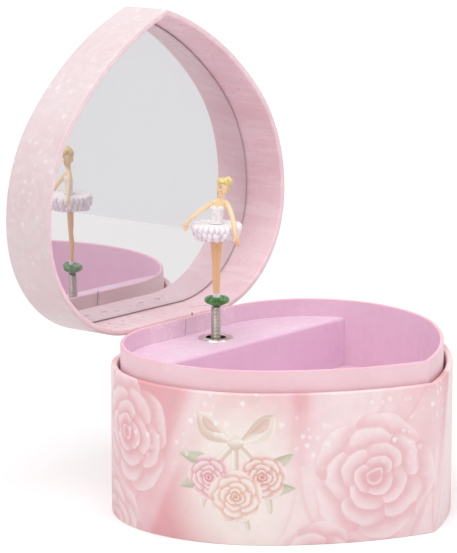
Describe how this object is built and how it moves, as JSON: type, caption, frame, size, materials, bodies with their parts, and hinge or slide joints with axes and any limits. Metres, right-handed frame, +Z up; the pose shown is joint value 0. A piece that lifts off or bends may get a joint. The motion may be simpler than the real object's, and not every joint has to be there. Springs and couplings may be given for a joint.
{
  "type": "wind up music box",
  "caption": "Heart-plan card jewellery box with a hinged mirrored lid, a raised stage with a turning dancer on a spring and a clockwork movement below.",
  "frame": {"origin": "on the table, in the middle of the lower edge of the base's back wall", "axes": "+Z up, +Y out of the back where the hinges are, the pointed front towards -Y, X across the box; the lid is open at rest"},
  "size_m": [0.1682, 0.1871, 0.2232],
  "materials": {
    "printed_paper": "satin printed paper over greyboard",
    "greyboard": "bare board",
    "pink_paper": "satin pink paper",
    "lilac_paper": "satin lilac paper",
    "lid_paper": "satin printed paper over greyboard",
    "bright_nickel": "bright nickel plate",
    "mirror_glass": "silvered glass",
    "cast_bed": "plain cast metal",
    "plain_steel": "plain steel",
    "barrel_brass": "turned brass",
    "key_brass": "stamped brass",
    "white_nylon": "moulded nylon",
    "coil_steel": "bright spring wire",
    "leaf_green": "glossy moulded plastic",
    "figure_paint": "painted moulded plastic",
    "hair_paint": "yellow paint on moulded plastic",
    "tutu_white": "soft white moulding"
  },
  "bodies": {
    "case": {"base_wall": "printed_paper", "base_floor": "greyboard", "collar": "pink_paper", "tray_floor": "lilac_paper", "stage_front": "lilac_paper", "stage_top": "lilac_paper", "stage_eyelet": "bright_nickel", "base_hinge_leaves": "bright_nickel", "hinge_pins": "bright_nickel", "hinge_rivets_base": "bright_nickel", "movement_bedplate": "cast_bed", "movement_screws": "bright_nickel", "barrel_bridge": "plain_steel", "cylinder_brackets": "cast_bed", "comb": "plain_steel", "comb_seat": "cast_bed", "comb_screws": "bright_nickel", "governor_housing": "white_nylon"},
    "lid": {"lid_hinge_leaves": "bright_nickel", "hinge_rivets_lid": "bright_nickel", "lid_wall": "lid_paper", "lid_top": "lid_paper", "mirror_backing": "greyboard", "mirror": "mirror_glass"},
    "barrel": {"barrel_drum": "barrel_brass", "barrel_cap": "barrel_brass", "output_spindle": "plain_steel", "mainspring": "plain_steel"},
    "winder": {"winding_arbor": "plain_steel", "winding_key": "key_brass"},
    "cylinder": {"pinned_cylinder": "barrel_brass", "cylinder_arbor": "plain_steel"},
    "governor": {"governor_pinion": "white_nylon"},
    "stop": {"stop_wire": "bright_nickel"},
    "spring_post": {"dancer_spring": "coil_steel"},
    "dancer": {"dancer_pad": "leaf_green", "dancer_figure": "figure_paint", "dancer_shoes": "tutu_white", "dancer_bodice": "tutu_white", "dancer_hair": "hair_paint", "dancer_tutu": "tutu_white"}
  },
  "joints": [
    {"name": "lid_hinge", "type": "hinge", "parent": "case", "child": "lid", "pos_m": [0, 0.0064, 0.068], "axis": [1, 0, 0], "range_deg": [0, 91.2]},
    {"name": "dancer_bend", "type": "hinge", "parent": "case", "child": "spring_post", "pos_m": [0, -0.0189, 0.0766], "axis": [1, 0, 0], "range_deg": [0, 90], "deforming": ["dancer_spring"]},
    {"name": "dancer_spin", "type": "hinge", "parent": "spring_post", "child": "dancer", "pos_m": [0, -0.0189, 0.08], "axis": [0, 0, 1], "continuous": true},
    {"name": "barrel_turn", "type": "hinge", "parent": "case", "child": "barrel", "pos_m": [0, -0.0189, 0.026], "axis": [0, 0, 1], "continuous": true},
    {"name": "key_wind", "type": "hinge", "parent": "case", "child": "winder", "pos_m": [0, -0.0189, 0.01], "axis": [0, 0, 1], "continuous": true},
    {"name": "cylinder_turn", "type": "hinge", "parent": "case", "child": "cylinder", "pos_m": [0.025, -0.0189, 0.03397], "axis": [1, 0, 0], "continuous": true},
    {"name": "governor_turn", "type": "hinge", "parent": "case", "child": "governor", "pos_m": [0.036, -0.01205, 0.04082], "axis": [1, 0, 0], "continuous": true},
    {"name": "stop_slide", "type": "slide", "parent": "case", "child": "stop", "axis": [0, 0, 1], "range_m": [-0.003, 0]}
  ],
  "couplings": [
    {"joint": "dancer_bend", "follows": "lid_hinge", "ratio": 0.98},
    {"joint": "stop_slide", "follows": "lid_hinge", "m_per_rad": -0.0018},
    {"joint": "dancer_spin", "follows": "barrel_turn", "ratio": 1},
    {"joint": "cylinder_turn", "follows": "barrel_turn", "ratio": 4},
    {"joint": "governor_turn", "follows": "barrel_turn", "ratio": -12}
  ]
}
